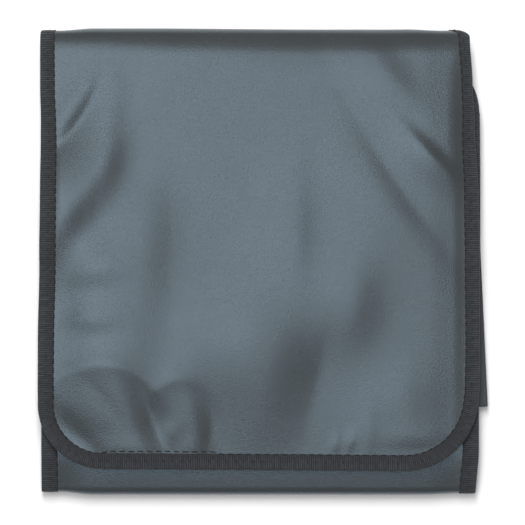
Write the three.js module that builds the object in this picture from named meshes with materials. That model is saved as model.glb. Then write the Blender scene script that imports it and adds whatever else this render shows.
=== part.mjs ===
// A knife roll of black leatherette, lying shut, folded in three like a letter.
// One long strip makes the lower panel, the back panel and the front flap. A ribbed tape is sewn over
// the strip's whole edge, and a plain leaf lies inside. Millimetres: X runs to the right, Y towards the
// top fold and Z up, and the roll lies on its back panel at Z = 0.

import * as THREE from "three";

const { degToRad, smoothstep } = THREE.MathUtils;

// Thicknesses and the clearance between neighbouring pieces
const SHEET = 2.4;
const TAPE = 0.7;
const LEAF = 1.6;
const CLEARANCE = 0.3;

// The tape: how far it lies in over each face, how far it stands past the strip, and its rounding
const FLANK = 9.3;
const TAPE_REACH = CLEARANCE + TAPE;
const TAPE_ROUNDING = 0.9;

// The folded strip, seen from the side; the radii are those of the middle of the sheet
const TOP_FOLD_Y = 149.0;
const BOTTOM_FOLD_Y = -149.2;
const TOP_FOLD_RADIUS = 6.9;
const ROLL_ANGLE = 18;
const BOTTOM_FOLD_RADIUS = 4.3;
const DIP_ANGLE = 6.2;
const BACK_START_Y = BOTTOM_FOLD_Y + SHEET / 2 + BOTTOM_FOLD_RADIUS;
const BACK_END_Y = TOP_FOLD_Y - SHEET / 2 - TOP_FOLD_RADIUS;

// The strip's ends: corner radii, and how far the flap's end slants per millimetre across
const INNER_CORNER = 40;
const LEFT_FLAP_CORNER = 40;
const RIGHT_FLAP_CORNER = 47;
const FLAP_END_SLANT = 0.008;

// The leaf: its size, its turn from square, its lower right corner, and the ramp that takes it over the
// back panel's tape, as distances in from its right edge
const LEAF_WIDTH = 150;
const LEAF_HEIGHT = 190;
const LEAF_TURN = 2.65;
const LEAF_CORNER_X = 144.9;
const LEAF_CORNER_Y = -92.8;
const LEAF_RAMP_TOP = 20.5;
const LEAF_RAMP_FOOT = 42;

// How finely the surfaces are cut up
const INNER_COLUMNS = 26;
const CORNER_ROWS = 6;

const arcLength = (radius, degrees) => radius * degToRad(degrees);
const tableOf = (columns, rows) =>
  rows.map((row) => Object.fromEntries(columns.map((column, place) => [column, row[place]])));

// The strip's way from its inner end to the flap's end: each stretch's length, the angle that it turns
// through, and the rows of facets along it
const STRETCHES = [
  { name: "lower panel", length: 253.5, turn: 0, rows: 4 },
  { name: "dip", length: 24, turn: DIP_ANGLE, rows: 3 },
  { name: "slope", length: 1.5, turn: 0, rows: 1 },
  {
    name: "bottom fold",
    length: arcLength(BOTTOM_FOLD_RADIUS, 180 - DIP_ANGLE),
    turn: 180 - DIP_ANGLE,
    rows: 8,
  },
  { name: "back panel", length: BACK_END_Y - BACK_START_Y, turn: 0, rows: 4 },
  {
    name: "top fold",
    length: arcLength(TOP_FOLD_RADIUS, 180 - ROLL_ANGLE),
    turn: 180 - ROLL_ANGLE,
    rows: 9,
  },
  { name: "roll-off", length: 12, turn: ROLL_ANGLE, rows: 2 },
  { name: "flap", length: 263.5, turn: 0, rows: 23 },
];

// The outline: where the tape's outer edges lie at a share of a stretch, and how far the strip's edges
// drop behind its middle there
const EDGES = [
  { stretch: "lower panel", share: 0.0, left: -141.0, right: 139.2, dropLeft: 0.0, dropRight: 0.0 },
  { stretch: "lower panel", share: 0.35, left: -141.0, right: 139.8, dropLeft: 0.0, dropRight: 0.0 },
  { stretch: "lower panel", share: 1.0, left: -141.0, right: 138.9, dropLeft: 0.0, dropRight: 0.0 },
  { stretch: "bottom fold", share: 0.5, left: -141.0, right: 136.9, dropLeft: 2.0, dropRight: 1.0 },
  { stretch: "back panel", share: 0.0, left: -140.8, right: 136.6, dropLeft: 1.0, dropRight: 1.0 },
  { stretch: "back panel", share: 0.5, left: -140.5, right: 135.0, dropLeft: 1.0, dropRight: 1.0 },
  { stretch: "back panel", share: 1.0, left: -140.5, right: 131.0, dropLeft: 1.0, dropRight: 1.0 },
  { stretch: "top fold", share: 0.5, left: -140.8, right: 129.0, dropLeft: 1.6, dropRight: 1.1 },
  { stretch: "roll-off", share: 0.0, left: -141.4, right: 132.9, dropLeft: 0.4, dropRight: 0.5 },
  { stretch: "flap", share: 0.07, left: -141.4, right: 134.6, dropLeft: 0.4, dropRight: 0.5 },
  { stretch: "flap", share: 0.16, left: -140.9, right: 135.9, dropLeft: 0.4, dropRight: 0.5 },
  { stretch: "flap", share: 0.35, left: -141.3, right: 138.4, dropLeft: 0.4, dropRight: 0.5 },
  { stretch: "flap", share: 0.5, left: -141.8, right: 139.2, dropLeft: 0.4, dropRight: 0.5 },
  { stretch: "flap", share: 0.69, left: -142.8, right: 139.2, dropLeft: 0.4, dropRight: 0.5 },
  { stretch: "flap", share: 1.0, left: -142.9, right: 138.3, dropLeft: 0.4, dropRight: 0.5 },
];

// How far in from the edge the drop has eased out
const DROP_EASE = 24;

// The flap's soft folds and dents: the middle of each one's crest, the way it runs there in degrees from X,
// its length, the bend over that length in degrees, its widths to the left and right of the way it runs, and
// how far it lifts the sheet. A place on the top fold is given by the flap laid out flat.
const FOLD_COLUMNS = ["name", "x", "y", "heading", "length", "bend", "left", "right", "lift"];
const FOLDS = tableOf(FOLD_COLUMNS, [
  ["crown", -5, 10, 90, 330, 0, 150, 150, 1.4],
  ["right shoulder", 117, -10, 90, 360, 0, 60, 11, 0.6],
  ["upper left fold", -127, 32, 55, 104, 0, 36, 17, 4.4],
  ["upper left swell", -101, 87, 87, 74, 0, 24, 13, 2],
  ["left upright fold", -78, 9, 86, 106, 0, 30, 21, 1.35],
  ["left ripple", -109, -4, 14, 38, 0, 22, 14, 2],
  ["lower left ripple", -108, -35, 0, 32, 0, 16, 10, 1.4],
  ["corner fold", -87, -102, 116, 84, 0, 24, 14, 2.2],
  ["second corner fold", -44, -102, 106, 54, 25, 12, 9, 1.2],
  ["corner droop", -113, -102, -44, 52, 0, 80, 7, 0.6],
  ["corner hollow", -119, -110.5, -38, 54, 0, 13, 10, -1.2],
  ["middle fold", 3.5, -64, 75, 106, 0, 40, 28, 2.9],
  ["middle swell", -18, -46, 75, 60, 0, 30, 26, 1.1],
  ["faint upright fold", 21, 22, 90, 75, 0, 20, 11, 0.8],
  ["right spot", 55.5, -28, 82, 66, 0, 25, 19, 2.1],
  ["lower right fold", 90, -90, 90, 56, 0, 30, 18, 1.1],
  ["right slant fold", 76.5, 42, 121, 106, -8, 30, 17, 1.5],
  ["right crease", 106.5, 68, 134, 50, 0, 16, 5.5, 1.6],
  ["upper right swell", 80, 117, 128, 62, 0, 25, 12, 1.25],
  ["top middle dip", 30, 142, 0, 100, 0, 6, 14, -0.9],
  ["upper right shoulder", 116, 98, 90, 60, 0, 30, 9, 0.7],
  ["upper right hollow", 120, 128, -45, 90, 0, 28, 28, -0.5],
  ["top left shoulder", -118, 144.5, 180, 90, 0, 9, 4, 0.9],
  ["end sag", 0, -130, 0, 150, 0, 22, 22, -1.3],
  ["top fold dip", 60, 153, 90, 16, 0, 110, 60, -1.5],
]);

// The flap's creases, with the same columns: sharp along their line, apart from a small rounding there
const CREASES = tableOf(FOLD_COLUMNS, [
  ["upper left crease", -114.5, 91, 55, 51, 31, 9, 45, -2.4],
  ["left upright valley", -58, 16, 89, 110, 0, 15, 40, -0.35],
  ["corner arch", -95, -65.5, -9, 76, -108, 72, 24, 4.2],
  ["second arch", -49, -74, -5, 40, -125, 40, 12, 1.5],
  ["corner valley", -71, -97, -68, 40, 0, 4, 9, -1],
  ["second corner valley", -31, -100, -90, 50, -70, 40, 10, -1],
  ["middle valley", 37, -71, 76, 90, 0, 30, 46, -1.5],
  ["right slant valley", 82, 56, 124, 126, -12, 14, 22, -0.9],
]);
const CREASE_ROUNDING = 2;

// Follows one stretch for a given distance: where that is in Y and Z, and which way it heads there.
// A heading of 0 runs towards -Y, and a quarter turn further it runs straight down.
function follow(stretch, distance) {
  const bend = degToRad(stretch.turn) / stretch.length;
  const heading = stretch.heading + bend * distance;
  if (bend === 0) {
    const y = stretch.y - Math.cos(heading) * distance;
    const z = stretch.z - Math.sin(heading) * distance;
    return { y, z, heading };
  }
  const y = stretch.y - (Math.sin(heading) - Math.sin(stretch.heading)) / bend;
  const z = stretch.z + (Math.cos(heading) - Math.cos(stretch.heading)) / bend;
  return { y, z, heading };
}

// Lays the stretches end to end, then shifts them so that the back panel lies on Z = 0 between the folds
function layOut(stretches) {
  let next = { along: 0, y: 0, z: 0, heading: 0 };
  const laid = stretches.map((stretch) => {
    const placed = { ...stretch, ...next };
    next = { along: placed.along + placed.length, ...follow(placed, placed.length) };
    return placed;
  });
  const back = laid.find((stretch) => stretch.name === "back panel");
  const shiftY = BACK_START_Y - back.y;
  const shiftZ = SHEET / 2 - back.z;
  return laid.map((stretch) => ({ ...stretch, y: stretch.y + shiftY, z: stretch.z + shiftZ }));
}

const LAID = layOut(STRETCHES);
const named = (name) => LAID.find((stretch) => stretch.name === name);
const FLAP = named("flap");
const TOP_FOLD = named("top fold");
const ROLL_OFF = named("roll-off");
const STRIP_LENGTH = FLAP.along + FLAP.length;

// Where the middle of the sheet runs in Y and Z, and its outward direction
function profile(along) {
  const begun = LAID.filter((stretch) => stretch.along <= along);
  const stretch = begun.at(-1) ?? LAID[0];
  const { y, z, heading } = follow(stretch, along - stretch.along);
  return { y, z, outY: -Math.sin(heading), outZ: Math.cos(heading) };
}

// One row of the outline table at any place along the strip, eased between its neighbours
const EDGE_ROWS = EDGES.map((row) => {
  const stretch = named(row.stretch);
  return { ...row, along: stretch.along + row.share * stretch.length };
});

function edgesAt(along) {
  const after = EDGE_ROWS.findIndex((row) => row.along > along);
  if (after === 0) {
    return EDGE_ROWS[0];
  }
  if (after < 0) {
    return EDGE_ROWS[EDGE_ROWS.length - 1];
  }
  const from = EDGE_ROWS[after - 1];
  const to = EDGE_ROWS[after];
  const share = smoothstep(along, from.along, to.along);
  const between = (column) => from[column] + (to[column] - from[column]) * share;
  return {
    left: between("left"),
    right: between("right"),
    dropLeft: between("dropLeft"),
    dropRight: between("dropRight"),
  };
}

// A place on the flap seen from a fold: how far along it, as a share of half its length, and how far to the
// left of its line
function seenFrom(fold, x, y) {
  const turn = degToRad(fold.heading);
  const ahead = (x - fold.x) * Math.cos(turn) + (y - fold.y) * Math.sin(turn);
  const aside = (y - fold.y) * Math.cos(turn) - (x - fold.x) * Math.sin(turn);
  const bow = ((degToRad(fold.bend) / fold.length) * ahead ** 2) / 2;
  return { lengthwise: (2 * ahead) / fold.length, sideways: aside - bow };
}

const widthOn = (fold, sideways) => (sideways > 0 ? fold.left : fold.right);

function foldLift(fold, x, y) {
  const { lengthwise, sideways } = seenFrom(fold, x, y);
  const share = sideways / widthOn(fold, sideways);
  return fold.lift * Math.exp(-(lengthwise ** 2) - share ** 2);
}

function creaseLift(crease, x, y) {
  const { lengthwise, sideways } = seenFrom(crease, x, y);
  const offLine = Math.hypot(sideways, CREASE_ROUNDING) - CREASE_ROUNDING;
  return crease.lift * Math.exp(-(lengthwise ** 2) - offLine / widthOn(crease, sideways));
}

// How far the sheet stands out from its plain folded course
function relief(across, along) {
  const { left, right, dropLeft, dropRight } = edgesAt(along);
  const nearLeft = 1 - smoothstep(across - left, FLANK + TAPE_REACH, FLANK + DROP_EASE);
  const nearRight = 1 - smoothstep(right - across, FLANK + TAPE_REACH, FLANK + DROP_EASE);
  const onFlap = smoothstep(along, TOP_FOLD.along, ROLL_OFF.along);
  const flatY = FLAP.y - (along - FLAP.along);
  const folds = FOLDS.reduce((sum, fold) => sum + foldLift(fold, across, flatY), 0);
  const creases = CREASES.reduce((sum, crease) => sum + creaseLift(crease, across, flatY), 0);
  return onFlap * (folds + creases) - dropLeft * nearLeft - dropRight * nearRight;
}

function middle(across, along) {
  const { y, z, outY, outZ } = profile(along);
  const lift = relief(across, along);
  return new THREE.Vector3(across, y + outY * lift, z + outZ * lift);
}

// A point at a height over the sheet's middle, square to the sheet there; positive is its outer face
function over(place, height) {
  const step = 0.05;
  const lengthwise = middle(place.across, place.along + step).sub(middle(place.across, place.along - step));
  const sideways = middle(place.across + step, place.along).sub(middle(place.across - step, place.along));
  const outward = lengthwise.cross(sideways).normalize();
  return middle(place.across, place.along).addScaledVector(outward, height);
}

const upTo = (count) => Array.from({ length: count }, (_, i) => i);
const spread = (from, to, steps) => upTo(steps + 1).map((i) => from + ((to - from) * i) / steps);

// Places along the strip where a row of facets ends: close together where a corner or a fold turns
function rowPlaces() {
  const cornerAngles = spread(0, 90, CORNER_ROWS);
  const cornerSteps = cornerAngles.map((angle) => 1 - Math.cos(degToRad(angle)));
  const innerEnd = cornerSteps.map((step) => step * INNER_CORNER);
  const flapEnd = cornerSteps.map((step) => STRIP_LENGTH - step * RIGHT_FLAP_CORNER).reverse();
  const between = LAID.flatMap((stretch) => {
    const from = Math.max(stretch.along, INNER_CORNER);
    const to = Math.min(stretch.along + stretch.length, STRIP_LENGTH - RIGHT_FLAP_CORNER);
    return spread(from, to, stretch.rows).slice(1);
  });
  return [...innerEnd, ...between, ...flapEnd.slice(1)];
}

// How far a round corner takes the edge in, at a distance from the strip's end
function cornerInset(distance, radius) {
  const left = Math.max(radius - distance, 0);
  return radius - Math.sqrt(radius ** 2 - left ** 2);
}

// Which way is in from the strip's edge: across on the long sides, turning lengthwise round each corner.
// The side is 1 on the left edge, -1 on the right edge and 0 between them.
function inwardAt(along, side) {
  const innerTurn = Math.max(1 - along / INNER_CORNER, 0);
  const flapCorner = side > 0 ? LEFT_FLAP_CORNER : RIGHT_FLAP_CORNER;
  const flapTurn = Math.max(1 - (STRIP_LENGTH - along) / flapCorner, 0);
  const lengthwise = innerTurn - flapTurn;
  return { across: side * Math.sqrt(1 - lengthwise ** 2), along: lengthwise };
}

// The strip's flat pattern as rows of places, with the flap's end a little out of square
function patternGrid() {
  return rowPlaces().map((along) => {
    const edges = edgesAt(along);
    const innerInset = cornerInset(along, INNER_CORNER);
    const leftInset = innerInset + cornerInset(STRIP_LENGTH - along, LEFT_FLAP_CORNER);
    const rightInset = innerInset + cornerInset(STRIP_LENGTH - along, RIGHT_FLAP_CORNER);
    const left = edges.left + TAPE_REACH + leftInset;
    const right = edges.right - TAPE_REACH - rightInset;
    const flankShare = FLANK / (edges.right - edges.left);
    const shares = [0, ...spread(flankShare, 1 - flankShare, INNER_COLUMNS), 1];
    const slant = FLAP_END_SLANT * smoothstep(along, FLAP.along, STRIP_LENGTH);
    return shares.map((share) => {
      const across = left + share * (right - left);
      const side = Number(share === 0) - Number(share === 1);
      return { across, along: along + slant * across, inward: inwardAt(along, side) };
    });
  });
}

function solid(points, faces) {
  const geometry = new THREE.BufferGeometry().setFromPoints(points);
  geometry.setIndex(faces.flat());
  geometry.computeVertexNormals();
  return geometry;
}

// The corners of the pattern's edge in order, as row and column: up the left side, along the flap's end,
// down the right side and back along the inner end
function rimOrder(rows, columns) {
  const lastRow = rows - 1;
  const lastColumn = columns - 1;
  return [
    ...upTo(lastRow).map((row) => [row, 0]),
    ...upTo(lastColumn).map((column) => [lastRow, column]),
    ...upTo(lastRow).map((row) => [lastRow - row, lastColumn]),
    ...upTo(lastColumn).map((column) => [0, lastColumn - column]),
  ];
}

// The strip: an outer and an inner face, joined by a wall along the edge
function outerPanel(grid) {
  const columns = grid[0].length;
  const places = grid.flat();
  const outer = places.map((place) => over(place, SHEET / 2));
  const inner = places.map((place) => over(place, -SHEET / 2));
  const at = (row, column) => row * columns + column;
  const under = (index) => index + places.length;
  const faces = [];
  for (let row = 0; row < grid.length - 1; row += 1) {
    for (let column = 0; column < columns - 1; column += 1) {
      const a = at(row, column);
      const b = at(row + 1, column);
      const c = at(row + 1, column + 1);
      const d = at(row, column + 1);
      faces.push([a, b, c], [a, c, d]);
      faces.push([under(a), under(c), under(b)], [under(a), under(d), under(c)]);
    }
  }
  const rim = rimOrder(grid.length, columns).map(([row, column]) => at(row, column));
  rim.forEach((from, i) => {
    const to = rim[(i + 1) % rim.length];
    faces.push([to, from, under(from)], [to, under(from), under(to)]);
  });
  return solid([...outer, ...inner], faces);
}

// The tape's cross-section, once round: how far in from the strip's edge, and how high over its middle
const TAPE_TOP = SHEET / 2 + TAPE_REACH;
const TAPE_INSIDE = SHEET / 2 + CLEARANCE;
const TAPE_SECTION = [
  { inward: -TAPE_REACH, height: TAPE_TOP - TAPE_ROUNDING },
  { inward: TAPE_ROUNDING - TAPE_REACH, height: TAPE_TOP },
  { inward: FLANK, height: TAPE_TOP },
  { inward: FLANK, height: TAPE_INSIDE },
  { inward: -CLEARANCE, height: TAPE_INSIDE },
  { inward: -CLEARANCE, height: -TAPE_INSIDE },
  { inward: FLANK, height: -TAPE_INSIDE },
  { inward: FLANK, height: -TAPE_TOP },
  { inward: TAPE_ROUNDING - TAPE_REACH, height: -TAPE_TOP },
  { inward: -TAPE_REACH, height: TAPE_ROUNDING - TAPE_TOP },
];

// The tape: its section carried round the whole edge of the strip
function edgeBinding(grid) {
  const rim = rimOrder(grid.length, grid[0].length).map(([row, column]) => grid[row][column]);
  const rings = rim.map((place) =>
    TAPE_SECTION.map((corner) => {
      const across = place.across + place.inward.across * corner.inward;
      const along = place.along + place.inward.along * corner.inward;
      return over({ across, along }, corner.height);
    }),
  );
  const sides = TAPE_SECTION.length;
  const faces = [];
  rings.forEach((_, ring) => {
    const nextRing = (ring + 1) % rings.length;
    for (let side = 0; side < sides; side += 1) {
      const nextSide = (side + 1) % sides;
      const a = ring * sides + side;
      const b = nextRing * sides + side;
      const c = nextRing * sides + nextSide;
      const d = ring * sides + nextSide;
      faces.push([a, b, c], [a, c, d]);
    }
  });
  return solid(rings.flat(), faces);
}

// The leaf: a plain sheet on the back panel that steps up over the tape at the right
function innerLeaf() {
  const onPanel = SHEET + CLEARANCE;
  const onTape = onPanel + 2 * TAPE_REACH;
  const section = new THREE.Shape();
  section.moveTo(-LEAF_WIDTH, onPanel);
  section.lineTo(-LEAF_RAMP_FOOT, onPanel);
  section.lineTo(-LEAF_RAMP_TOP, onTape);
  section.lineTo(0, onTape);
  section.lineTo(0, onTape + LEAF);
  section.lineTo(-LEAF_RAMP_TOP, onTape + LEAF);
  section.lineTo(-LEAF_RAMP_FOOT, onPanel + LEAF);
  section.lineTo(-LEAF_WIDTH, onPanel + LEAF);
  const geometry = new THREE.ExtrudeGeometry(section, { depth: LEAF_HEIGHT, bevelEnabled: false });
  geometry.rotateX(Math.PI / 2);
  geometry.translate(0, LEAF_HEIGHT, 0);
  return geometry;
}

function piece(name, geometry, color, roughness) {
  const material = new THREE.MeshStandardMaterial({ color, roughness, metalness: 0 });
  const mesh = new THREE.Mesh(geometry, material);
  mesh.name = name;
  return mesh;
}

const pattern = patternGrid();
const panel = piece("outer_panel", outerPanel(pattern), 0x4b545c, 0.42);
const binding = piece("edge_binding", edgeBinding(pattern), 0x2e3133, 0.9);
const leaf = piece("inner_leaf", innerLeaf(), 0x3c3f43, 0.6);
leaf.position.set(LEAF_CORNER_X, LEAF_CORNER_Y, 0);
leaf.rotation.z = degToRad(LEAF_TURN);

const knifeRoll = new THREE.Group();
knifeRoll.add(panel, binding, leaf);

// The origin is under the middle of the whole roll
const reach = new THREE.Box3().setFromObject(knifeRoll);
knifeRoll.position.x = -(reach.min.x + reach.max.x) / 2;
knifeRoll.position.y = -(reach.min.y + reach.max.y) / 2;

export default knifeRoll;
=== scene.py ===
import math

import bpy
import numpy as np
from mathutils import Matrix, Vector


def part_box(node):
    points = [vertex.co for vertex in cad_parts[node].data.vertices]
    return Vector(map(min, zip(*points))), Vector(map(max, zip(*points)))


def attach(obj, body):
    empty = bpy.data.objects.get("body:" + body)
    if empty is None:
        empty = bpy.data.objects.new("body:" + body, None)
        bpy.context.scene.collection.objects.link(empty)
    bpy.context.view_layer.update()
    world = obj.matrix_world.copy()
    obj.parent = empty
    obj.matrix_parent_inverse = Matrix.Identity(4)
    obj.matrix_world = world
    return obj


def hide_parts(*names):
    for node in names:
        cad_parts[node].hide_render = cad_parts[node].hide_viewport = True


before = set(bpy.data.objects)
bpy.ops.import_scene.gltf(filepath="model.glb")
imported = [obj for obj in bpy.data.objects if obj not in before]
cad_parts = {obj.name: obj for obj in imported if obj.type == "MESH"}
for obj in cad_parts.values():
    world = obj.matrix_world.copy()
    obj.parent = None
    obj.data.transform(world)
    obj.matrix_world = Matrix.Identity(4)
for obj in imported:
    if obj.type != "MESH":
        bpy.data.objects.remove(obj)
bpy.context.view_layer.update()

# The leatherette strip: one long piece of black vinyl-faced sheet with a thin padding, cut with round
# corners at both ends and folded in three like a letter. It lies on its back panel, and the slack front
# flap on top has soft folds and dents. Sizes of the pieces are in millimetres, and MM makes them metres.
MM = 0.001
SHEET = 2.4
CLEARANCE = 0.3
TAPE = 0.7
FLANK = 9.3
TAPE_REACH = CLEARANCE + TAPE
LEAF_CORNER_X = 144.9
MIDLINE_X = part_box("inner_leaf")[1].x / MM - LEAF_CORNER_X
TOP_FOLD_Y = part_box("outer_panel")[1].y / MM
BOTTOM_FOLD_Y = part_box("outer_panel")[0].y / MM
TOP_FOLD_RADIUS = 6.9
ROLL_ANGLE = 18
BOTTOM_FOLD_RADIUS = 4.3
DIP_ANGLE = 6.2
INNER_CORNER = 40
LEFT_FLAP_CORNER = 40
RIGHT_FLAP_CORNER = 47
FLAP_END_SLANT = 0.008
BACK_START_Y = BOTTOM_FOLD_Y + SHEET / 2 + BOTTOM_FOLD_RADIUS
BACK_END_Y = TOP_FOLD_Y - SHEET / 2 - TOP_FOLD_RADIUS

# The strip's way from its inner end to the flap's end: length, angle turned through, rows of faces
STRETCHES = {
    "lower panel": (253.5, 0, 14),
    "dip": (24.0, DIP_ANGLE, 12),
    "slope": (1.5, 0, 2),
    "bottom fold": (BOTTOM_FOLD_RADIUS * math.radians(180 - DIP_ANGLE), 180 - DIP_ANGLE, 18),
    "back panel": (BACK_END_Y - BACK_START_Y, 0, 10),
    "top fold": (TOP_FOLD_RADIUS * math.radians(180 - ROLL_ANGLE), 180 - ROLL_ANGLE, 22),
    "roll-off": (12.0, ROLL_ANGLE, 10),
    "flap": (263.5, 0, 132),
}

# The outline: stretch, share of it, the tape's left and right outer edges, and each edge's drop
OUTLINE = [
    ("lower panel", 0.0, -141.0, 139.2, 0.0, 0.0),
    ("lower panel", 0.35, -141.0, 139.8, 0.0, 0.0),
    ("lower panel", 1.0, -141.0, 138.9, 0.0, 0.0),
    ("bottom fold", 0.5, -141.0, 136.9, 2.0, 1.0),
    ("back panel", 0.0, -140.8, 136.6, 1.0, 1.0),
    ("back panel", 0.5, -140.5, 135.0, 1.0, 1.0),
    ("back panel", 1.0, -140.5, 131.0, 1.0, 1.0),
    ("top fold", 0.5, -140.8, 124.8, 1.7, 1.2),
    ("roll-off", 0.0, -141.4, 132.9, 0.4, 0.5),
    ("flap", 0.07, -141.4, 134.6, 0.4, 0.5),
    ("flap", 0.16, -140.9, 135.9, 0.4, 0.5),
    ("flap", 0.35, -141.3, 138.4, 0.4, 0.5),
    ("flap", 0.5, -141.8, 139.2, 0.4, 0.5),
    ("flap", 0.69, -142.8, 139.2, 0.4, 0.5),
    ("flap", 1.0, -142.9, 138.3, 0.4, 0.5),
]
DROP_EASE = 24

# The flap's soft folds: middle x and y of the crest, its heading there, length, bend over that length in
# degrees, the widths on the left and on the right of the heading, and lift
FOLDS = {
    "crown": (-5, 10, 90, 330, 0, 150, 150, 1.4),
    "right shoulder": (122, -10, 90, 360, 0, 60, 6, 0.75),
    "upper left lip": (-121, 97, 56, 50, 0, 8, 6, 0.7),
    "upper left fold": (-127, 32, 55, 104, 0, 36, 17, 4.4),
    "upper left swell": (-101, 87, 87, 74, 0, 24, 13, 2.0),
    "upper left brink": (-127.5, 52, 90, 80, 0, 4, 10, 0.8),
    "left upright fold": (-78, 9, 86, 106, 0, 30, 21, 1.35),
    "left ripple": (-109, -4, 14, 38, 0, 22, 14, 2.0),
    "lower left ripple": (-108, -35, 0, 32, 0, 16, 10, 1.4),
    "corner fold": (-87, -102, 116, 84, 0, 24, 14, 2.2),
    "second corner fold": (-44, -102, 106, 54, 25, 12, 9, 1.2),
    "corner bump": (-57, -109, 60, 14, 0, 6, 5, 0.6),
    "corner droop": (-113, -102, -44, 52, 0, 80, 7, 0.6),
    "corner hollow": (-119, -110.5, -38, 54, 0, 13, 10, -1.2),
    "corner foot": (-88, -120, 0, 60, 0, 8, 20, 0.65),
    "second corner foot": (-46, -120, 0, 20, 0, 8, 20, 0.6),
    "middle fold": (3.5, -64, 75, 106, 0, 40, 28, 2.9),
    "middle swell": (-18, -46, 75, 60, 0, 30, 26, 1.1),
    "faint upright fold": (21, 22, 90, 75, 0, 20, 11, 0.8),
    "right spot": (55.5, -28, 82, 66, 0, 25, 19, 2.1),
    "lower right fold": (90, -90, 90, 56, 0, 30, 18, 1.1),
    "right slant fold": (76.5, 42, 121, 106, -8, 30, 17, 1.5),
    "right crease": (106.5, 68, 134, 50, 0, 16, 5.5, 1.6),
    "upper right swell": (80, 117, 128, 62, 0, 25, 12, 1.25),
    "top middle dip": (30, 142, 0, 100, 0, 6, 14, -0.9),
    "upper right shoulder": (118, 90, 90, 90, 0, 30, 9, 1.3),
    "upper right hollow": (120, 128, -45, 90, 0, 28, 28, -0.5),
    "top left shoulder": (-118, 144.5, 180, 90, 0, 9, 4, 0.9),
    "end sag": (0, -130, 0, 150, 0, 22, 22, -1.3),
    "seam pucker": (68, -112, 90, 32, 0, 9, 5, 0.4),
    "first seam dent": (47, -117, 90, 10, 0, 4, 3, 0.5),
    "second seam dent": (57, -115, 80, 10, 0, 4, 3, 0.5),
    "seam ripple": (100, -113, 2, 46, 0, 9, 4, 0.5),
    "top fold dip": (60, 153, 90, 16, 0, 110, 60, -1.5),
}

# The flap's creases, sharp along their line, with the same columns as the folds
CREASES = {
    "upper left crease": (-116.5, 88.5, 55, 64, 38, 9, 50, -2.7),
    "left upright valley": (-58, 16, 89, 110, 0, 15, 40, -0.35),
    "corner arch": (-95, -65.5, -9, 76, -108, 72, 24, 4.2),
    "second arch": (-49, -74, -5, 40, -125, 40, 12, 1.5),
    "corner valley": (-71, -97, -68, 40, 0, 4, 9, -1.0),
    "second corner valley": (-31, -100, -90, 50, -70, 40, 10, -1.0),
    "corner droop edge": (-114, -102.5, -46, 52, 0, 20, 8, 0.35),
    "fine corner crease": (-97, -91, -50, 40, -15, 3, 6, -0.35),
    "middle valley": (37, -71, 76, 90, 0, 30, 46, -1.5),
    "right slant valley": (82, 56, 124, 126, -12, 14, 22, -0.9),
}
CREASE_ROUNDING = 2.0


def follow(stretch, distance):
    heading = stretch["heading"] + stretch["bend"] * distance
    if stretch["bend"] == 0:
        y = stretch["y"] - np.cos(heading) * distance
        z = stretch["z"] - np.sin(heading) * distance
    else:
        y = stretch["y"] - (np.sin(heading) - np.sin(stretch["heading"])) / stretch["bend"]
        z = stretch["z"] + (np.cos(heading) - np.cos(stretch["heading"])) / stretch["bend"]
    return y, z, heading


def lay_out(stretches):
    laid = {}
    along, y, z, heading = 0.0, 0.0, 0.0, 0.0
    for name, (length, turn, rows) in stretches.items():
        bend = math.radians(turn) / length
        laid[name] = dict(along=along, length=length, bend=bend, rows=rows, y=y, z=z, heading=heading)
        y, z, heading = follow(laid[name], length)
        along += length
    shift_y = BACK_START_Y - laid["back panel"]["y"]
    shift_z = SHEET / 2 - laid["back panel"]["z"]
    for stretch in laid.values():
        stretch["y"] += shift_y
        stretch["z"] += shift_z
    return laid


LAID = lay_out(STRETCHES)
FLAP = LAID["flap"]
STRIP_LENGTH = FLAP["along"] + FLAP["length"]


def ease(value, low, high):
    share = np.clip((value - low) / (high - low), 0, 1)
    return share * share * (3 - 2 * share)


def course(along):
    y, z, heading = follow(LAID["lower panel"], along)
    for stretch in LAID.values():
        later = along >= stretch["along"]
        there = follow(stretch, along - stretch["along"])
        y, z, heading = (np.where(later, new, old) for new, old in zip(there, (y, z, heading)))
    return y, z, heading


def edges_at(along):
    places = np.array([LAID[name]["along"] + share * LAID[name]["length"] for name, share, *_ in OUTLINE])
    columns = np.array([row[2:] for row in OUTLINE]).T
    after = np.clip(np.searchsorted(places, along, side="right"), 1, len(places) - 1)
    share = ease(along, places[after - 1], places[after])
    return [column[after - 1] + (column[after] - column[after - 1]) * share for column in columns]


def fold_frame(fold, x, y):
    """The way along a fold as a share of half its length, the way left of its line, and its width there."""
    fold_x, fold_y, heading, length, bend, left_width, right_width, _ = fold
    turn = math.radians(heading)
    lengthwise = (x - fold_x) * math.cos(turn) + (y - fold_y) * math.sin(turn)
    sideways = (y - fold_y) * math.cos(turn) - (x - fold_x) * math.sin(turn)
    sideways = sideways - math.radians(bend) / length * lengthwise ** 2 / 2
    width = np.where(sideways > 0, left_width, right_width)
    return 2 * lengthwise / length, sideways, width


def fold_lift(fold, x, y):
    lengthwise, sideways, width = fold_frame(fold, x, y)
    return fold[-1] * np.exp(-(lengthwise ** 2) - (sideways / width) ** 2)


def crease_lift(crease, x, y):
    lengthwise, sideways, width = fold_frame(crease, x, y)
    off_line = np.hypot(sideways, CREASE_ROUNDING) - CREASE_ROUNDING
    return crease[-1] * np.exp(-(lengthwise ** 2) - off_line / width)


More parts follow.
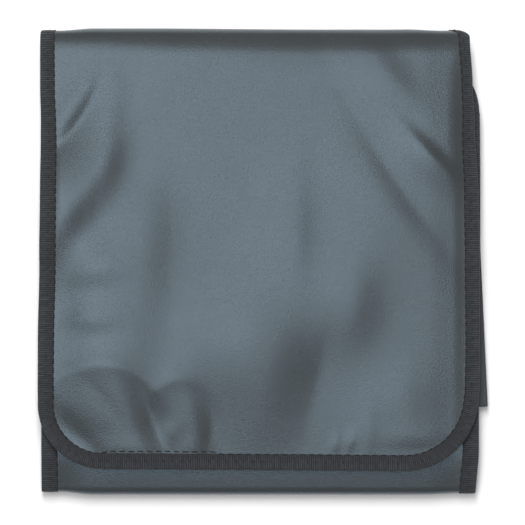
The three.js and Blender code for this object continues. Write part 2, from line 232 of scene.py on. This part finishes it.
def relief(across, along):
    left, right, drop_left, drop_right = edges_at(along)
    near_left = 1 - ease(across - left, FLANK + TAPE_REACH, FLANK + DROP_EASE)
    near_right = 1 - ease(right - across, FLANK + TAPE_REACH, FLANK + DROP_EASE)
    on_flap = ease(along, LAID["top fold"]["along"], LAID["roll-off"]["along"])
    flat_y = FLAP["y"] - (along - FLAP["along"])
    folds = sum(fold_lift(fold, across, flat_y) for fold in FOLDS.values())
    creases = sum(crease_lift(crease, across, flat_y) for crease in CREASES.values())
    return on_flap * (folds + creases) - drop_left * near_left - drop_right * near_right


def middle(across, along):
    y, z, heading = course(along)
    lift = relief(across, along)
    return np.stack([across, y - np.sin(heading) * lift, z + np.cos(heading) * lift], axis=-1)


SMALL_STEP = 0.05


def outward_at(across, along):
    lengthwise = middle(across, along + SMALL_STEP) - middle(across, along - SMALL_STEP)
    sideways = middle(across + SMALL_STEP, along) - middle(across - SMALL_STEP, along)
    outward = np.cross(lengthwise, sideways)
    return outward / np.linalg.norm(outward, axis=-1, keepdims=True)


def over(across, along, height):
    height = np.asarray(height, float)[..., None]
    return middle(across, along) + outward_at(across, along) * height


def corner_inset(distance, radius):
    left = np.clip(radius - distance, 0, radius)
    return radius - np.sqrt(radius ** 2 - left ** 2)


def slanted(across, along):
    return along + FLAP_END_SLANT * across * ease(along, FLAP["along"], STRIP_LENGTH)


CORNER_ROWS = 15
SAME_ROW_DIGITS = 6


def strip_rows():
    corner = 1 - np.cos(np.linspace(0, math.pi / 2, CORNER_ROWS + 1))
    places = [INNER_CORNER * corner, STRIP_LENGTH - RIGHT_FLAP_CORNER * corner]
    for stretch in LAID.values():
        start = max(stretch["along"], INNER_CORNER)
        end = min(stretch["along"] + stretch["length"], STRIP_LENGTH - RIGHT_FLAP_CORNER)
        places.append(np.linspace(start, end, stretch["rows"] + 1))
    return np.unique(np.round(np.concatenate(places), SAME_ROW_DIGITS))


def strip_grid(columns):
    along = strip_rows()
    left, right, _, _ = edges_at(along)
    inner_inset = corner_inset(along, INNER_CORNER)
    left_inset = inner_inset + corner_inset(STRIP_LENGTH - along, LEFT_FLAP_CORNER)
    right_inset = inner_inset + corner_inset(STRIP_LENGTH - along, RIGHT_FLAP_CORNER)
    left = (left + TAPE_REACH + left_inset)[:, None]
    right = (right - TAPE_REACH - right_inset)[:, None]
    across = left + (right - left) * np.linspace(0, 1, columns)[None, :]
    return across, slanted(across, np.broadcast_to(along[:, None], across.shape))


def grid_faces(rows, columns):
    corner = np.arange(rows * columns).reshape(rows, columns)
    quads = [corner[:-1, :-1], corner[1:, :-1], corner[1:, 1:], corner[:-1, 1:]]
    return np.stack(quads, axis=-1).reshape(-1, 4)


def make_piece(name, points, faces, material):
    mesh = bpy.data.meshes.new(name)
    placed = (np.asarray(points).reshape(-1, 3) + (MIDLINE_X, 0, 0)) * MM
    mesh.from_pydata(placed.tolist(), [], np.asarray(faces).tolist())
    mesh.shade_smooth()
    mesh.materials.append(material)
    piece = bpy.data.objects.new(name, mesh)
    bpy.context.scene.collection.objects.link(piece)
    return piece


def add_node(tree, kind, **settings):
    node = tree.nodes.new(kind)
    for socket, value in settings.items():
        node.inputs[socket.replace("_", " ")].default_value = value
    return node


def new_finish(name):
    material = bpy.data.materials.new(name)
    material.use_nodes = True
    return material, material.node_tree, material.node_tree.nodes["Principled BSDF"]


def leatherette_finish():
    material, tree, shader = new_finish("leatherette")
    place = tree.nodes.new("ShaderNodeTexCoord")
    stretch = add_node(tree, "ShaderNodeMapping", Scale=(1200, 1800, 1800))
    grain = add_node(tree, "ShaderNodeTexNoise", Scale=1, Detail=2)
    cloud = add_node(tree, "ShaderNodeTexNoise", Scale=45, Detail=3)
    shades = tree.nodes.new("ShaderNodeValToRGB")
    shades.color_ramp.elements[0].color = (0.026, 0.026, 0.024, 1)
    shades.color_ramp.elements[1].color = (0.034, 0.034, 0.032, 1)
    gloss = add_node(tree, "ShaderNodeMapRange", To_Min=0.24, To_Max=0.3)
    bump = add_node(tree, "ShaderNodeBump", Strength=0.36, Distance=0.0003)
    tree.links.new(place.outputs["Object"], cloud.inputs["Vector"])
    tree.links.new(place.outputs["Object"], stretch.inputs["Vector"])
    tree.links.new(stretch.outputs["Vector"], grain.inputs["Vector"])
    tree.links.new(cloud.outputs["Fac"], shades.inputs["Fac"])
    tree.links.new(cloud.outputs["Fac"], gloss.inputs["Value"])
    tree.links.new(grain.outputs["Fac"], bump.inputs["Height"])
    tree.links.new(shades.outputs["Color"], shader.inputs["Base Color"])
    tree.links.new(gloss.outputs["Result"], shader.inputs["Roughness"])
    tree.links.new(bump.outputs["Normal"], shader.inputs["Normal"])
    shader.inputs["Specular IOR Level"].default_value = 1.0
    # The blue specular tint stands in for cool light. It paints a blue cast into the vinyl's reflections,
    # while the lamps and the room are white.
    shader.inputs["Specular Tint"].default_value = (0.6, 0.82, 1.0, 1)
    return material


STRIP_COLUMNS = 168
strip_across, strip_along = strip_grid(STRIP_COLUMNS)
strip_shape = strip_across.shape
outer_face = over(strip_across, strip_along, np.full(strip_shape, SHEET / 2)).reshape(-1, 3)
inner_face = over(strip_across, strip_along, np.full(strip_shape, -SHEET / 2)).reshape(-1, 3)
outer_quads = grid_faces(*strip_shape)
inner_quads = outer_quads[:, ::-1] + len(outer_face)
corner_numbers = np.arange(len(outer_face)).reshape(strip_shape)
rim = np.concatenate([
    corner_numbers[:-1, 0],
    corner_numbers[-1, :-1],
    corner_numbers[:0:-1, -1],
    corner_numbers[0, :0:-1],
])
next_rim = np.roll(rim, -1)
rim_quads = np.stack([next_rim, rim, rim + len(outer_face), next_rim + len(outer_face)], axis=-1)
strip = make_piece(
    "leatherette_strip",
    np.concatenate([outer_face, inner_face]),
    np.concatenate([outer_quads, inner_quads, rim_quads]),
    leatherette_finish(),
)
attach(strip, "root")
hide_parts("outer_panel")

# The binding: a black ribbed tape, woven with a cord across it every 1.4 mm, folded over the whole edge of
# the strip and sewn down near its inner edge. It is one loop: both long edges and both round-cornered ends.
RIB_PITCH = 1.4
RIB_HEIGHT = 0.3
RIB_WANDER = 0.12
# The next two set the painted light on the rib crests: how much it varies at random from rib to rib, and
# how far it dims into painted shade toward the tape's inner, stitched edge.
CREST_LIGHT_SCATTER = 0.5
INNER_EDGE_SHADE = 0.45
FOLD_THINNING = 0.6
TAPE_TOP = SHEET / 2 + TAPE_REACH
TAPE_INSIDE = SHEET / 2 + CLEARANCE

# The upper half of the tape's outer face, from its inner edge out to its turn: distance in from the
# strip's edge, and height over the middle of the sheet
TAPE_FACE = [
    (FLANK, TAPE_TOP - 0.45),
    (FLANK - 0.5, TAPE_TOP - 0.28),
    (FLANK - 1.4, TAPE_TOP - 0.16),
    (FLANK - 2.8, TAPE_TOP),
    (FLANK / 2, TAPE_TOP + 0.05),
    (1.2, TAPE_TOP),
    (-0.4, TAPE_TOP - 0.3),
    (-TAPE_REACH, TAPE_TOP - 1.1),
]

# Where the tape is folded unevenly, so that less of its width shows: stretch, share of it, and how much
# less at the left and at the right
TAPE_LOSS = [
    ("back panel", 0.9, 0.0, 0.0),
    ("top fold", 0.5, 1.2, 5.5),
    ("roll-off", 0.0, 1.2, 3.2),
    ("flap", 0.1, 1.0, 3.2),
    ("flap", 0.25, 0.0, 1.5),
    ("flap", 0.5, 0.0, 0.7),
    ("flap", 0.7, 0.0, 1.2),
    ("flap", 1.0, 0.4, 0.6),
]

# The tape's lining, which goes round the strip's edge, with the same columns as its face
TAPE_LINING = [
    (FLANK, -TAPE_INSIDE),
    (-CLEARANCE, -TAPE_INSIDE),
    (-CLEARANCE, TAPE_INSIDE),
    (FLANK, TAPE_INSIDE),
]
TAPE_SECTION = [(inward, height, 1) for inward, height in TAPE_FACE]
TAPE_SECTION += [(inward, -height, 1) for inward, height in TAPE_FACE[::-1]]
TAPE_SECTION += [(inward, height, 0) for inward, height in TAPE_LINING]
TAPE_SIDES = len(TAPE_SECTION)


def rim_line(spacing):
    """Places round the strip's edge, across and along, and the way in from each, across and along."""
    def side(sign, flap_corner):
        along = np.arange(INNER_CORNER, STRIP_LENGTH - flap_corner, spacing)
        left, right, _, _ = edges_at(along)
        across = left + TAPE_REACH if sign > 0 else right - TAPE_REACH
        line = np.stack([across, along, np.full_like(along, sign), np.zeros_like(along)], axis=-1)
        return line if sign > 0 else line[::-1]

    def corner(sign, end_along, radius, toward_end):
        angle = np.arange(0, math.pi / 2, spacing / radius)
        left, right, _, _ = edges_at(np.array([end_along]))
        edge = left[0] + TAPE_REACH if sign > 0 else right[0] - TAPE_REACH
        lean = 1 if end_along > STRIP_LENGTH / 2 else -1
        across = edge + sign * radius * (1 - np.cos(angle))
        along = end_along - lean * radius * (1 - np.sin(angle))
        line = np.stack([across, along, sign * np.cos(angle), -lean * np.sin(angle)], axis=-1)
        return line if toward_end else line[::-1]

    def end(end_along, left_corner, right_corner, rightward):
        left, right, _, _ = edges_at(np.array([end_along]))
        start = left[0] + TAPE_REACH + left_corner
        across = np.arange(start, right[0] - TAPE_REACH - right_corner, spacing)
        lean = 1 if end_along > STRIP_LENGTH / 2 else -1
        line = np.stack([
            across, np.full_like(across, end_along), np.zeros_like(across), np.full_like(across, -lean)
        ], axis=-1)
        return line if rightward else line[::-1]

    return np.concatenate([
        side(1, LEFT_FLAP_CORNER),
        corner(1, STRIP_LENGTH, LEFT_FLAP_CORNER, True),
        end(STRIP_LENGTH, LEFT_FLAP_CORNER, RIGHT_FLAP_CORNER, True),
        corner(-1, STRIP_LENGTH, RIGHT_FLAP_CORNER, False),
        side(-1, RIGHT_FLAP_CORNER),
        corner(-1, 0.0, INNER_CORNER, True),
        end(0.0, INNER_CORNER, INNER_CORNER, False),
        corner(1, 0.0, INNER_CORNER, False),
    ])


RIM_SPACING = 0.5
rim_places = rim_line(RIM_SPACING)
rim_steps = np.linalg.norm(np.diff(rim_places[:, :2], axis=0, append=rim_places[:1, :2]), axis=1)
rim_distance = np.concatenate([[0], np.cumsum(rim_steps)])
RIM_LENGTH = rim_distance[-1]
rim_closed = np.concatenate([rim_places, rim_places[:1]])


def rim_at(distance):
    columns = [np.interp(distance % RIM_LENGTH, rim_distance, column) for column in rim_closed.T]
    across, along, in_across, in_along = columns
    size = np.hypot(in_across, in_along)
    return across, along, in_across / size, in_along / size


def shown_share(along, in_across):
    """The share of the tape's width that shows."""
    places = [LAID[name]["along"] + share * LAID[name]["length"] for name, share, _, _ in TAPE_LOSS]
    left_loss, right_loss = (np.interp(along, places, column) for column in list(zip(*TAPE_LOSS))[2:])
    loss = left_loss * np.clip(in_across, 0, 1) + right_loss * np.clip(-in_across, 0, 1)
    return 1 - loss / FLANK


def thinned(along, height):
    """A height over the sheet, less where the tape is drawn thin round the outside of a fold."""
    thinning = np.zeros_like(along)
    for fold in (LAID["bottom fold"], LAID["top fold"]):
        off_middle = np.abs(along - fold["along"] - fold["length"] / 2)
        thinning += FOLD_THINNING * (1 - ease(off_middle, fold["length"] / 4, fold["length"]))
    return np.where(height > 0, SHEET / 2 + (height - SHEET / 2) * (1 - thinning), height)


def on_tape(distance, inward, height):
    across, along, in_across, in_along = rim_at(distance)
    height = thinned(along, np.asarray(height, float))
    inward = np.where(np.asarray(inward) > 0, inward * shown_share(along, in_across), inward)
    across = across + in_across * inward
    along = along + in_along * inward
    return over(across, slanted(across, along), height)


def tape_finish():
    material, tree, shader = new_finish("binding_tape")
    place = tree.nodes.new("ShaderNodeTexCoord")
    fibres = add_node(tree, "ShaderNodeTexNoise", Scale=1500, Detail=2)
    # The rib attribute paints shade into the grooves and a highlight onto the crests. The ramp below runs
    # from painted shade to painted highlight over the tape's own black.
    painted_crest_light = tree.nodes.new("ShaderNodeAttribute")
    painted_crest_light.attribute_name = "painted_crest_light"
    shades = tree.nodes.new("ShaderNodeValToRGB")
    shades.color_ramp.elements[0].color = (0.011, 0.012, 0.013, 1)
    shades.color_ramp.elements[1].color = (0.068, 0.075, 0.084, 1)
    bump = add_node(tree, "ShaderNodeBump", Strength=0.3, Distance=0.0002)
    tree.links.new(place.outputs["Object"], fibres.inputs["Vector"])
    tree.links.new(painted_crest_light.outputs["Fac"], shades.inputs["Fac"])
    tree.links.new(fibres.outputs["Fac"], bump.inputs["Height"])
    tree.links.new(shades.outputs["Color"], shader.inputs["Base Color"])
    tree.links.new(bump.outputs["Normal"], shader.inputs["Normal"])
    shader.inputs["Roughness"].default_value = 0.8
    shader.inputs["Specular IOR Level"].default_value = 0.35
    shader.inputs["Sheen Weight"].default_value = 0.1
    shader.inputs["Sheen Roughness"].default_value = 0.5
    return material


RIB_SEED = 4
chance = np.random.default_rng(RIB_SEED)


def tape_loop():
    stations = 2 * round(RIM_LENGTH / RIB_PITCH)
    distance = np.linspace(0, RIM_LENGTH, stations, endpoint=False)
    distance += chance.uniform(-RIB_WANDER, RIB_WANDER, stations)
    swell = (np.arange(stations) % 2 - 0.5) * RIB_HEIGHT
    rings = []
    for inward, height, ribbed in TAPE_SECTION:
        side = math.copysign(ribbed, height)
        rings.append(on_tape(distance, inward, height + side * swell))
    points = np.stack(rings, axis=1)
    corner = np.arange(stations * TAPE_SIDES).reshape(stations, TAPE_SIDES)
    next_ring = np.roll(corner, -1, axis=0)
    quads = [corner, np.roll(corner, -1, axis=1), np.roll(next_ring, -1, axis=1), next_ring]
    return points.reshape(-1, 3), np.stack(quads, axis=-1).reshape(-1, 4)


def paint_rib_light_and_shade(piece):
    """Marks the tape's rings with painted light and shade for its finish: rib crests get painted light,
    which varies at random and dims into painted shade toward the tape's inner edge, and the grooves get
    painted shade.
    """
    rings = len(piece.data.vertices) // TAPE_SIDES
    painted_crest_light = np.arange(rings)[:, None] % 2
    light_fade_to_inner_edge = 1 - INNER_EDGE_SHADE * np.array([max(inward, 0) / FLANK for inward, _, _ in TAPE_SECTION])
    rib_light_and_shade = painted_crest_light * light_fade_to_inner_edge * chance.uniform(1 - CREST_LIGHT_SCATTER, 1, (rings, TAPE_SIDES))
    piece.data.attributes.new("painted_crest_light", "FLOAT", "POINT").data.foreach_set("value", rib_light_and_shade.ravel())


binding = make_piece("binding_tape", *tape_loop(), tape_finish())
paint_rib_light_and_shade(binding)
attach(binding, "root")
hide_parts("edge_binding")

# The stitches: two rows of black thread round the whole edge, long stitches along the tape's inner edge and
# short ones down its middle, set between them. Each stitch is pulled down into a needle hole at both ends.
STITCH_PITCH = 5.75
EDGE_INSET = FLANK - 0.1
EDGE_STITCH_HEIGHT = TAPE_TOP - 0.3
EDGE_STITCH_LENGTH = 3.6
MIDDLE_INSET = FLANK - 4.8
MIDDLE_STITCH_HEIGHT = TAPE_TOP + 0.1
MIDDLE_STITCH_LENGTH = 1.2
STRAY_INSET = 1.5
STRAY_START_X = -104
STRAY_END_X = -33
STRAY_EASE = 8
THREAD_RADIUS = 0.3
THREAD_SIDES = 6

# Along one stitch: share of its length, height over the tape, and share of the thread's thickness
STITCH_RINGS = [(0.0, -0.4, 0.7), (0.12, -0.05, 1.0), (0.5, 0.0, 1.0), (0.88, -0.05, 1.0), (1.0, -0.4, 0.7)]


def thread_finish():
    material, tree, shader = new_finish("sewing_thread")
    place = tree.nodes.new("ShaderNodeTexCoord")
    fluff = add_node(tree, "ShaderNodeTexNoise", Scale=2500, Detail=1)
    # The thread's ramp is painted darker than the black tape. It is the thread's own black plus painted
    # shade for the stitches sunk into the tape.
    shades = tree.nodes.new("ShaderNodeValToRGB")
    shades.color_ramp.elements[0].color = (0.008, 0.008, 0.009, 1)
    shades.color_ramp.elements[1].color = (0.016, 0.017, 0.018, 1)
    tree.links.new(place.outputs["Object"], fluff.inputs["Vector"])
    tree.links.new(fluff.outputs["Fac"], shades.inputs["Fac"])
    tree.links.new(shades.outputs["Color"], shader.inputs["Base Color"])
    shader.inputs["Roughness"].default_value = 0.75
    return material


def edge_inset(distance):
    """Where the edge row runs: it strays off the tape at the left of the flap's end."""
    across, along, _, _ = rim_at(distance)
    stray = ease(across, STRAY_START_X, STRAY_START_X + STRAY_EASE)
    stray = stray * (1 - ease(across, STRAY_END_X, STRAY_END_X + STRAY_EASE))
    return EDGE_INSET + np.where(along > STRIP_LENGTH - LEFT_FLAP_CORNER, STRAY_INSET * stray, 0)


def stitch_rows():
    """Thread centres of both rows: one line of points to a stitch."""
    count = round(RIM_LENGTH / STITCH_PITCH)
    pitch = RIM_LENGTH / count
    edge = np.arange(count) * pitch
    middle = edge + pitch / 2
    lines = []
    for share, dip, _ in STITCH_RINGS:
        at_edge = edge + (share - 0.5) * EDGE_STITCH_LENGTH
        at_middle = middle + (share - 0.5) * MIDDLE_STITCH_LENGTH
        edge_points = on_tape(at_edge, edge_inset(at_edge), EDGE_STITCH_HEIGHT + dip)
        middle_points = on_tape(at_middle, MIDDLE_INSET, MIDDLE_STITCH_HEIGHT + dip)
        lines.append(np.concatenate([edge_points, middle_points]))
    return np.stack(lines, axis=1), np.concatenate([edge, middle])


def threads():
    lines, centres = stitch_rows()
    count = len(lines)
    forward = lines[:, -1] - lines[:, 0]
    forward /= np.linalg.norm(forward, axis=-1, keepdims=True)
    across, along, in_across, in_along = rim_at(centres)
    across = across + in_across * FLANK
    upward = outward_at(across, slanted(across, along + in_along * FLANK))
    sideways = np.cross(forward, upward)
    angle = np.arange(THREAD_SIDES) * 2 * math.pi / THREAD_SIDES
    spoke = sideways[:, None] * np.cos(angle)[:, None] + upward[:, None] * np.sin(angle)[:, None]
    thickness = np.array([share for _, _, share in STITCH_RINGS]) * THREAD_RADIUS
    points = lines[:, :, None] + spoke[:, None] * thickness[None, :, None, None]
    rings = len(STITCH_RINGS)
    corner = np.arange(rings * THREAD_SIDES).reshape(rings, THREAD_SIDES)
    turned = np.roll(corner, -1, axis=1)
    one = np.stack([corner[:-1], turned[:-1], turned[1:], corner[1:]], axis=-1).reshape(-1, 4)
    caps = [corner[0][::-1][[0, 1, 2, 3]], corner[0][::-1][[0, 3, 4, 5]]]
    caps += [corner[-1][[0, 1, 2, 3]], corner[-1][[0, 3, 4, 5]]]
    one = np.concatenate([one, np.array(caps)])
    faces = one[None] + (np.arange(count) * rings * THREAD_SIDES)[:, None, None]
    return points.reshape(-1, 3), faces.reshape(-1, 4)


stitches = make_piece("stitches", *threads(), thread_finish())
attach(stitches, "root")

# The leaf: a plain unbound sheet that lies loose inside the roll, a little askew, so that its right edge
# shows past the flap. It lies on the back panel and steps up over the tape there.
LEAF = 1.6
LEAF_WIDTH = 150
LEAF_HEIGHT = 190
LEAF_TURN = 2.65
LEAF_CORNER_Y = -92.8
LEAF_RAMP_TOP = 20.5
LEAF_RAMP_FOOT = 42
LEAF_EDGE_ROUNDING = 0.3
LEAF_MARGIN = 2
LEAF_RAMP_GAP = 4
LEAF_FLAT_GAP = 6
LEAF_EDGE_COLUMNS = 8
LEAF_RAMP_COLUMNS = 12
LEAF_FLAT_COLUMNS = 10
LEAF_ROWS = 40


def leaf_finish():
    material, tree, shader = new_finish("leaf_sheet")
    place = tree.nodes.new("ShaderNodeTexCoord")
    mottle = add_node(tree, "ShaderNodeTexNoise", Scale=160, Detail=3)
    shades = tree.nodes.new("ShaderNodeValToRGB")
    shades.color_ramp.elements[0].color = (0.038, 0.042, 0.048, 1)
    shades.color_ramp.elements[1].color = (0.052, 0.058, 0.066, 1)
    bump = add_node(tree, "ShaderNodeBump", Strength=0.1, Distance=0.0002)
    tree.links.new(place.outputs["Object"], mottle.inputs["Vector"])
    tree.links.new(mottle.outputs["Fac"], shades.inputs["Fac"])
    tree.links.new(mottle.outputs["Fac"], bump.inputs["Height"])
    tree.links.new(shades.outputs["Color"], shader.inputs["Base Color"])
    tree.links.new(bump.outputs["Normal"], shader.inputs["Normal"])
    shader.inputs["Roughness"].default_value = 0.6
    return material


def leaf_sheet():
    inward = np.concatenate([
        [0, LEAF_EDGE_ROUNDING],
        np.linspace(LEAF_MARGIN, LEAF_RAMP_TOP - LEAF_RAMP_GAP, LEAF_EDGE_COLUMNS),
        np.linspace(LEAF_RAMP_TOP, LEAF_RAMP_FOOT, LEAF_RAMP_COLUMNS),
        np.linspace(LEAF_RAMP_FOOT + LEAF_FLAT_GAP, LEAF_WIDTH, LEAF_FLAT_COLUMNS),
    ])
    down = np.concatenate([
        [0, LEAF_EDGE_ROUNDING],
        np.linspace(LEAF_MARGIN, LEAF_HEIGHT - LEAF_MARGIN, LEAF_ROWS),
        [LEAF_HEIGHT - LEAF_EDGE_ROUNDING, LEAF_HEIGHT],
    ])
    inward, down = np.meshgrid(inward, down, indexing="ij")
    on_panel = SHEET + CLEARANCE + LEAF / 2
    middle_z = on_panel + 2 * TAPE_REACH * (1 - ease(inward, LEAF_RAMP_TOP, LEAF_RAMP_FOOT))
    at_rim = (inward <= 0) | (down <= 0) | (down >= LEAF_HEIGHT) | (inward >= LEAF_WIDTH)
    half = np.where(at_rim, LEAF / 2 - LEAF_EDGE_ROUNDING, LEAF / 2)
    turn = math.radians(LEAF_TURN)
    up = LEAF_HEIGHT - down
    x = LEAF_CORNER_X - inward * math.cos(turn) - up * math.sin(turn)
    y = LEAF_CORNER_Y - inward * math.sin(turn) + up * math.cos(turn)
    top = np.stack([x, y, middle_z + half], axis=-1).reshape(-1, 3)
    bottom = np.stack([x, y, middle_z - half], axis=-1).reshape(-1, 3)
    faces = grid_faces(*inward.shape)
    numbers = np.arange(len(top)).reshape(inward.shape)
    edge = np.concatenate([numbers[:-1, 0], numbers[-1, :-1], numbers[:0:-1, -1], numbers[0, :0:-1]])
    following = np.roll(edge, -1)
    walls = np.stack([following, edge, edge + len(top), following + len(top)], axis=-1)
    return np.concatenate([top, bottom]), np.concatenate([faces, faces[:, ::-1] + len(top), walls])


leaf = make_piece("leaf_sheet", *leaf_sheet(), leaf_finish())
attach(leaf, "root")
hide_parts("inner_leaf")

# The stage: a white table top, a large soft light overhead and to the left, a softer one from behind that
# lays the shadow forward, and a camera straight above the roll. Its sizes are in metres.
FLOOR_SIZE = 6.0
FLOOR_DROP = 0.0004
CAMERA_HEIGHT = 2.4
FOCAL_PIXELS = 3734
IMAGE_PIXELS = 525
SENSOR_MM = 36
PHOTO_CENTRE = (0.0005, -0.0005)
OVERHEAD_PLACE = (-1.17, 0.41, 6.0)
OVERHEAD_AIM = (-1.17, 0.41, 0)
OVERHEAD_SIZE = (4.0, 2.6)
OVERHEAD_WATTS = 107
BEHIND_PLACE = (-0.14, 1.2, 1.8)
BEHIND_AIM = (0, 0, 0)
BEHIND_SIZE = (0.6, 1.3)
BEHIND_WATTS = 40
ROOM_STRENGTH = 0.38


def make_floor():
    half = FLOOR_SIZE / 2
    mesh = bpy.data.meshes.new("table_top")
    corners = [(-half, -half, -FLOOR_DROP), (half, -half, -FLOOR_DROP)]
    corners += [(half, half, -FLOOR_DROP), (-half, half, -FLOOR_DROP)]
    mesh.from_pydata(corners, [], [(0, 1, 2, 3)])
    material, _, shader = new_finish("table_top")
    shader.inputs["Base Color"].default_value = (0.9, 0.9, 0.9, 1)
    shader.inputs["Roughness"].default_value = 0.9
    shader.inputs["Specular IOR Level"].default_value = 0.1
    mesh.materials.append(material)
    floor = bpy.data.objects.new("table_top", mesh)
    bpy.context.scene.collection.objects.link(floor)


def soft_light(name, place, aim, size, watts):
    lamp = bpy.data.lights.new(name, "AREA")
    lamp.shape = "RECTANGLE"
    lamp.size, lamp.size_y = size
    lamp.energy = watts
    light = bpy.data.objects.new(name, lamp)
    light.location = place
    light.rotation_mode = "QUATERNION"
    light.rotation_quaternion = (Vector(aim) - Vector(place)).to_track_quat("-Z", "Y")
    bpy.context.scene.collection.objects.link(light)
    return light


make_floor()
soft_light("overhead", OVERHEAD_PLACE, OVERHEAD_AIM, OVERHEAD_SIZE, OVERHEAD_WATTS)
behind = soft_light("behind", BEHIND_PLACE, BEHIND_AIM, BEHIND_SIZE, BEHIND_WATTS)
behind.visible_glossy = False
world = bpy.data.worlds.new("room")
world.use_nodes = True
world.node_tree.nodes["Background"].inputs["Color"].default_value = (1.0, 1.0, 1.0, 1)
world.node_tree.nodes["Background"].inputs["Strength"].default_value = ROOM_STRENGTH
bpy.context.scene.world = world
bpy.context.scene.view_settings.view_transform = "Standard"

camera_data = bpy.data.cameras.new("camera")
camera_data.sensor_width = SENSOR_MM
camera_data.lens = SENSOR_MM * FOCAL_PIXELS / IMAGE_PIXELS
camera = bpy.data.objects.new("camera", camera_data)
camera.location = (MIDLINE_X * MM + PHOTO_CENTRE[0], PHOTO_CENTRE[1], CAMERA_HEIGHT)
bpy.context.scene.collection.objects.link(camera)
bpy.context.scene.camera = camera
